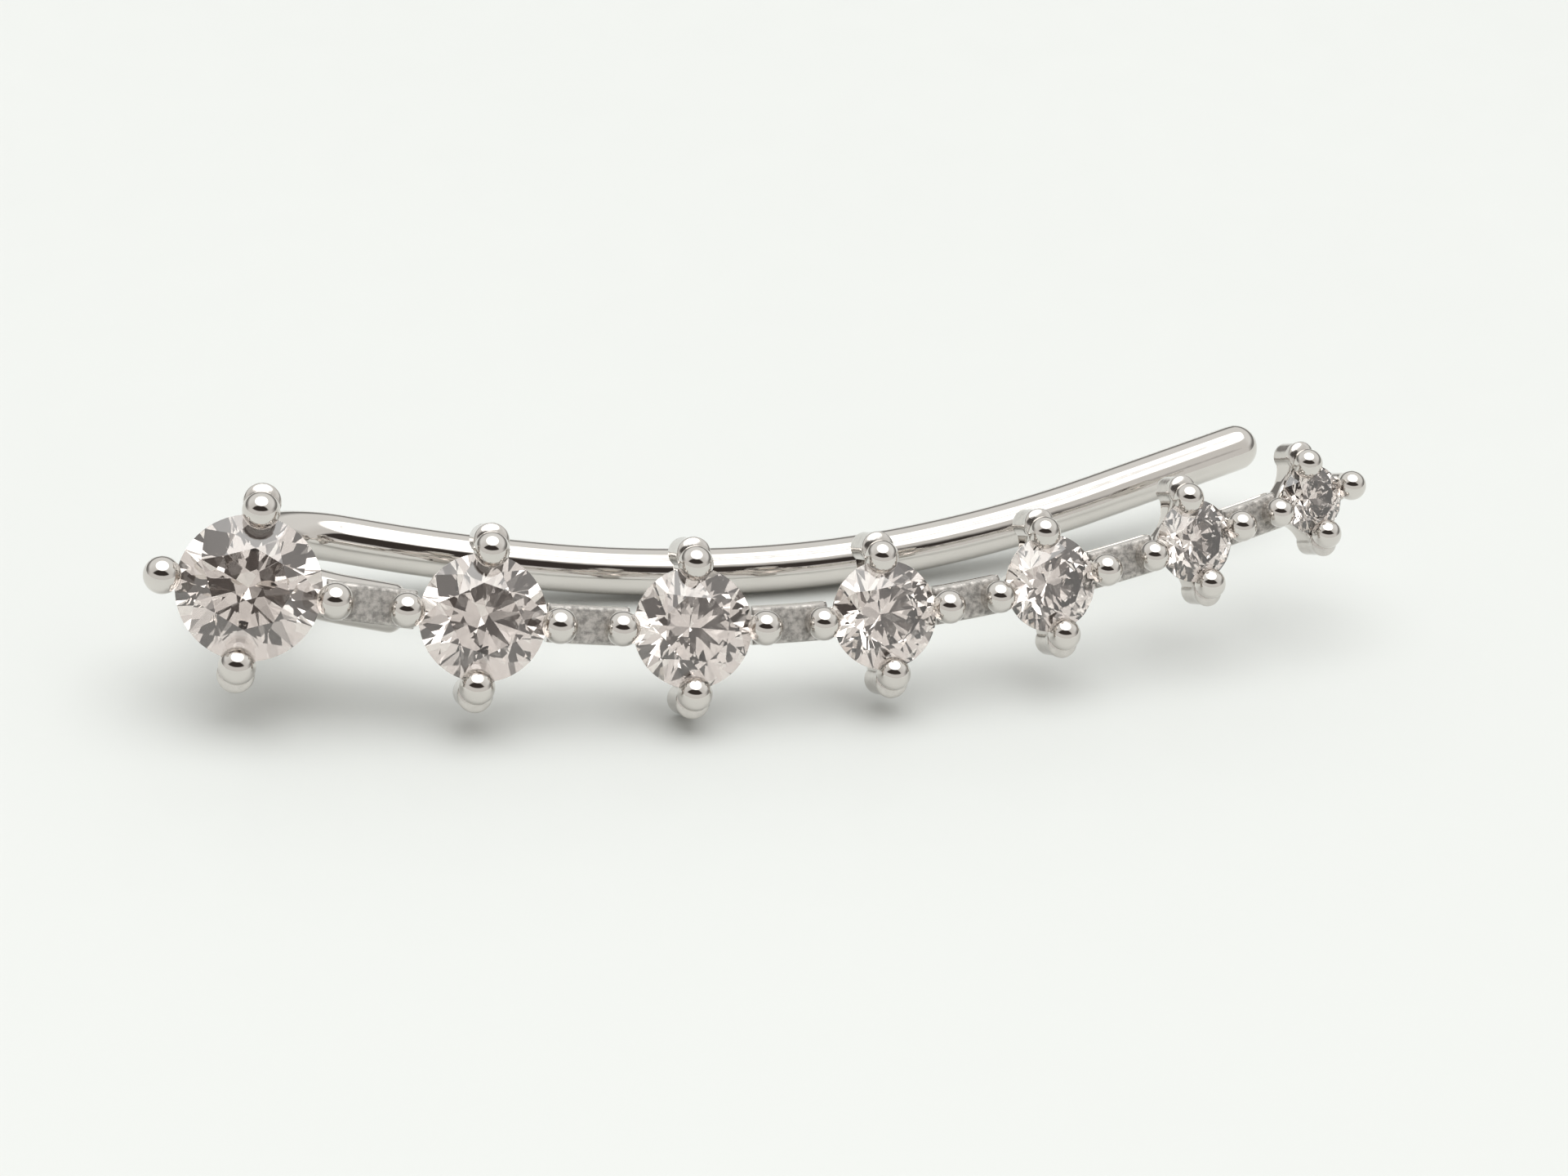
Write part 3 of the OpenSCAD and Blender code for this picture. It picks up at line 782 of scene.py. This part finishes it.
def silver_material(metal):
    """Polished silver: faint waves, hairlines, and a rougher, darker skin where the mesh says so: the
    rail's cast face, and painted shade on the posts under the leaning tips.
    """
    material, tree, shader = new_material("polished_silver")
    place = tree.nodes.new("ShaderNodeTexCoord").outputs["Object"]
    cast = tree.nodes.new("ShaderNodeAttribute")
    cast.attribute_name = "cast"
    cast = cast.outputs["Fac"]
    waves = noise(tree, place, 1400, 2.0)
    buffed = noise(tree, place, 5200, 4.0, 0.6)
    stretch = tree.nodes.new("ShaderNodeMapping")
    stretch.inputs["Scale"].default_value = (0.06, 1, 1)
    stretch.inputs["Rotation"].default_value = (0.2, 0.1, 0.15)
    tree.links.new(place, stretch.inputs["Vector"])
    hairs = noise(tree, stretch.outputs["Vector"], 26000, 2.0)
    grain = noise(tree, place, 9000, 4.0, 0.65)

    def times(a, b):
        return math_node(tree, "MULTIPLY", a, b)

    def plus(a, b):
        return math_node(tree, "ADD", a, b)

    polish = ranged(tree, buffed, 0.35, 0.7, metal.polish * 0.6, metal.polish * 1.7)
    rough = times(cast, ranged(tree, grain, 0.3, 0.7, metal.cast * 0.7, metal.cast * 1.25))
    tree.links.new(plus(polish, rough), shader.inputs["Roughness"])

    dull = tuple(c * 0.8 for c in metal.silver)
    # The darker colour is the rail's pitted cast face, and painted shade on the posts under the leaning
    # tips.
    pitted_and_shaded = tuple(c * 0.45 for c in metal.silver)
    bright = mixed(tree, ranged(tree, waves, 0.3, 0.7, 0, 0.18), tuple(metal.silver), dull)
    pits_and_shade = times(cast, ranged(tree, grain, 0.38, 0.62, 0.1, 1))
    tree.links.new(mixed(tree, pits_and_shade, bright, pitted_and_shaded), shader.inputs["Base Color"])

    height = plus(times(waves, WAVE_RELIEF), times(hairs, HAIR_RELIEF))
    height = plus(height, times(times(cast, grain), CAST_RELIEF))
    bump = tree.nodes.new("ShaderNodeBump")
    bump.inputs["Strength"].default_value = 1
    bump.inputs["Distance"].default_value = RELIEF_DEPTH
    tree.links.new(height, bump.inputs["Height"])
    tree.links.new(bump.outputs["Normal"], shader.inputs["Normal"])
    tree.links.new(ranged(tree, cast, 0, 1, 1, 0.7), shader.inputs["Metallic"])
    return material


def stone_material(stones):
    """Clear cut stone: it bends light strongly, and is faintly warm and not quite even."""
    material, tree, shader = new_material("clear_stone")
    place = tree.nodes.new("ShaderNodeTexCoord").outputs["Object"]
    clouds = noise(tree, place, 900, 2.0)
    clear = tuple(stones.clear)
    warm = tuple(c * s for c, s in zip(clear, (1.0, 0.975, 0.965)))
    tree.links.new(mixed(tree, clouds, clear, warm), shader.inputs["Base Color"])
    rough = ranged(tree, noise(tree, place, 16000, 2.0), 0.4, 0.8, 0.0, 0.012)
    tree.links.new(rough, shader.inputs["Roughness"])
    shader.inputs["IOR"].default_value = 2.16
    shader.inputs["Transmission Weight"].default_value = 0.97
    return material


def table_material(stage):
    """A pale smooth board with faint mottling and a slight sheen."""
    material, tree, shader = new_material("pale_table")
    place = tree.nodes.new("ShaderNodeTexCoord").outputs["Object"]
    mottle = noise(tree, place, 60, 3.0)
    shade = tuple(c * 0.975 for c in stage.table_tint)
    tree.links.new(mixed(tree, mottle, tuple(stage.table_tint), shade), shader.inputs["Base Color"])
    rough = ranged(tree, noise(tree, place, 900, 3.0), 0.3, 0.7, 0.42, 0.55)
    tree.links.new(rough, shader.inputs["Roughness"])
    shader.inputs["Specular IOR Level"].default_value = 0.35
    return material


def metal_finish():
    """The one silver that all the metal shares."""
    metal = bpy.context.scene.climber_metal
    return bpy.data.materials.get("polished_silver") or silver_material(metal)


class CLIMBER_OT_ear_wire(bpy.types.Operator):
    """Build the round ear wire with its bend, its soldered end and its rounded free end"""

    bl_idname = "climber.ear_wire"
    bl_label = "Ear Wire"

    def execute(self, context):
        lay = layout()
        grid = ear_wire_points(lay, context.scene.climber_stage.sides)
        points, faces = tubes(moved(lay.rest, grid)[None])
        make_piece("ear_wire", points, faces, metal_finish(), SILVER_NODE)
        points, faces = tubes(moved(lay.rest, solder_points(lay))[None])
        make_piece("solder", points, faces, metal_finish(), SILVER_NODE)
        return {"FINISHED"}


class CLIMBER_OT_rail(bpy.types.Operator):
    """Build the curved rail between the settings"""

    bl_idname = "climber.rail"
    bl_label = "Rail"

    def execute(self, context):
        lay = layout()
        grids, cast = rail_points(lay)
        points, faces = tubes(moved(lay.rest, grids))
        make_piece("rail", points, faces, metal_finish(), SILVER_NODE, cast=cast)
        return {"FINISHED"}


class CLIMBER_OT_settings(bpy.types.Operator):
    """Build the four-pointed setting plates and their prongs"""

    bl_idname = "climber.settings"
    bl_label = "Settings"

    def execute(self, context):
        lay = layout()
        plates = np.array([plate_points(lay, i) for i in range(LAST + 1)])
        points, faces = rings(moved(lay.rest, plates))
        make_piece("setting_plates", points, faces, metal_finish(), SILVER_NODE)
        grids = np.concatenate([prong_points(lay, i) for i in range(LAST + 1)])
        points, faces = tubes(moved(lay.rest, grids))
        # The posts under the leaning tips get painted shade: a darker, rougher skin.
        cast = np.tile(POST_PAINTED_SHADE, LAST + 1).repeat(len(points) // len(grids))
        make_piece("prongs", points, faces, metal_finish(), SILVER_NODE, cast=cast)
        grids = np.concatenate([tip_points(lay, i) for i in range(LAST + 1)])
        points, faces = tubes(moved(lay.rest, grids))
        make_piece("prong_tips", points, faces, metal_finish(), SILVER_NODE)
        return {"FINISHED"}


class CLIMBER_OT_stones(bpy.types.Operator):
    """Cut the round stones, each with its facets and a round girdle"""

    bl_idname = "climber.stones"
    bl_label = "Stones"

    def execute(self, context):
        lay = layout()
        finish = stone_material(context.scene.climber_stones)
        for i, node in enumerate(STONE_NODES):
            points, faces = stone_points(lay, i)
            points = moved(lay.rest, points)
            make_piece(f"cut_{node}", points, faces, finish, node, flat=True)
        return {"FINISHED"}


def room(scene, stage):
    """A room with a bright ceiling, and walls that are light in front and dark low down behind.

    The ceiling is the cone of directions round straight up, with a greyer ring in it. Behind the
    viewer is a small dim part, which fades out to its sides and starts at some height.
    """
    world = bpy.data.worlds.new("soft_room")
    world.use_nodes = True
    scene.world = world
    tree = world.node_tree
    tree.nodes.clear()
    out = tree.nodes.new("ShaderNodeOutputWorld")
    light = tree.nodes.new("ShaderNodeBackground")
    tree.links.new(light.outputs["Background"], out.inputs["Surface"])
    aim = tree.nodes.new("ShaderNodeTexCoord").outputs["Generated"]
    split = tree.nodes.new("ShaderNodeSeparateXYZ")
    tree.links.new(aim, split.inputs["Vector"])
    toward = tree.nodes.new("ShaderNodeVectorMath")
    toward.operation = "DOT_PRODUCT"
    toward.inputs[1].default_value = VIEWER
    tree.links.new(aim, toward.inputs[0])
    toward, height = toward.outputs["Value"], split.outputs["Z"]

    low = ranged(tree, height, *LOW_BACK, 0, 1)
    back = mixed(tree, low, HIGH_BACK, tuple(stage.back))
    walls = mixed(tree, ranged(tree, toward, *FRONT_WALLS, 0, 1), back, tuple(stage.walls))
    near = ranged(tree, toward, *DIM_TOWARD, 0, 1)
    above = ranged(tree, height, *DIM_ABOVE, 0, 1)
    walls = mixed(tree, math_node(tree, "MULTIPLY", near, above), walls, tuple(stage.dim))

    ceiling = ranged(tree, height, *CEILING_RIM, 0, 1)
    outside = ranged(tree, height, *CORNICE_RIM, 0, 1)
    inside = ranged(tree, height, *CORNICE_TOP, 0, CORNICE_SHADE)
    cornice = math_node(tree, "MULTIPLY", outside, inside)
    ceiling = math_node(tree, "SUBTRACT", ceiling, cornice)
    bright = tuple(stage.ceiling * c for c in CEILING_TINT)
    tree.links.new(mixed(tree, ceiling, walls, bright), light.inputs["Color"])


class CLIMBER_OT_stage(bpy.types.Operator):
    """Lay the pale table, light it softly and place the camera"""

    bl_idname = "climber.stage"
    bl_label = "Table, Light and Camera"

    def execute(self, context):
        scene, stage = context.scene, context.scene.climber_stage
        mesh = bpy.data.meshes.new("table")
        corners = [(x * TABLE_HALF, y * TABLE_HALF, 0) for x, y in ((-1, -1), (1, -1), (1, 1), (-1, 1))]
        mesh.from_pydata(corners, [], [(0, 1, 2, 3)])
        mesh.materials.append(table_material(stage))
        table = bpy.data.objects.new("table", mesh)
        scene.collection.objects.link(table)
        room(scene, stage)

        data = bpy.data.cameras.new("camera")
        camera = bpy.data.objects.new("camera", data)
        scene.collection.objects.link(camera)
        scene.camera = camera
        data.sensor_width = 36
        data.lens = stage.lens
        data.clip_start = 0.005
        level = (CAMERA_PLACE - CAMERA_AIM).to_track_quat("Z", "Y").to_matrix().to_4x4()
        rolled = level @ Matrix.Rotation(stage.roll, 4, "Z")
        camera.matrix_world = Matrix.Translation(CAMERA_PLACE) @ rolled
        scene.view_settings.view_transform = "Standard"
        scene.view_settings.look = "None"
        return {"FINISHED"}


class CLIMBER_PT_panel(bpy.types.Panel):
    """Lists what builds the climber, in order"""

    bl_idname = "CLIMBER_PT_panel"
    bl_label = "Ear Climber"
    bl_space_type = "VIEW_3D"
    bl_region_type = "UI"
    bl_category = "Climber"

    def draw(self, context):
        for operator in OPERATORS:
            self.layout.operator(operator.bl_idname)


GROUPS = {"climber_stones": ClimberStones, "climber_metal": ClimberMetal, "climber_stage": ClimberStage}
OPERATORS = (
    CLIMBER_OT_stage, CLIMBER_OT_ear_wire, CLIMBER_OT_rail, CLIMBER_OT_settings, CLIMBER_OT_stones,
)
CLASSES = (*GROUPS.values(), *OPERATORS, CLIMBER_PT_panel)


def register():
    """Makes the properties, operators and panel known to Blender."""
    for cls in CLASSES:
        bpy.utils.register_class(cls)
    for name, group in GROUPS.items():
        setattr(bpy.types.Scene, name, PointerProperty(type=group))


def unregister():
    """Takes them away again."""
    for name in GROUPS:
        delattr(bpy.types.Scene, name)
    for cls in reversed(CLASSES):
        bpy.utils.unregister_class(cls)


def main():
    """Builds the whole scene."""
    register()
    bpy.ops.climber.stage()
    bpy.ops.climber.ear_wire()
    bpy.ops.climber.rail()
    bpy.ops.climber.settings()
    bpy.ops.climber.stones()


if __name__ == "__main__":
    main()
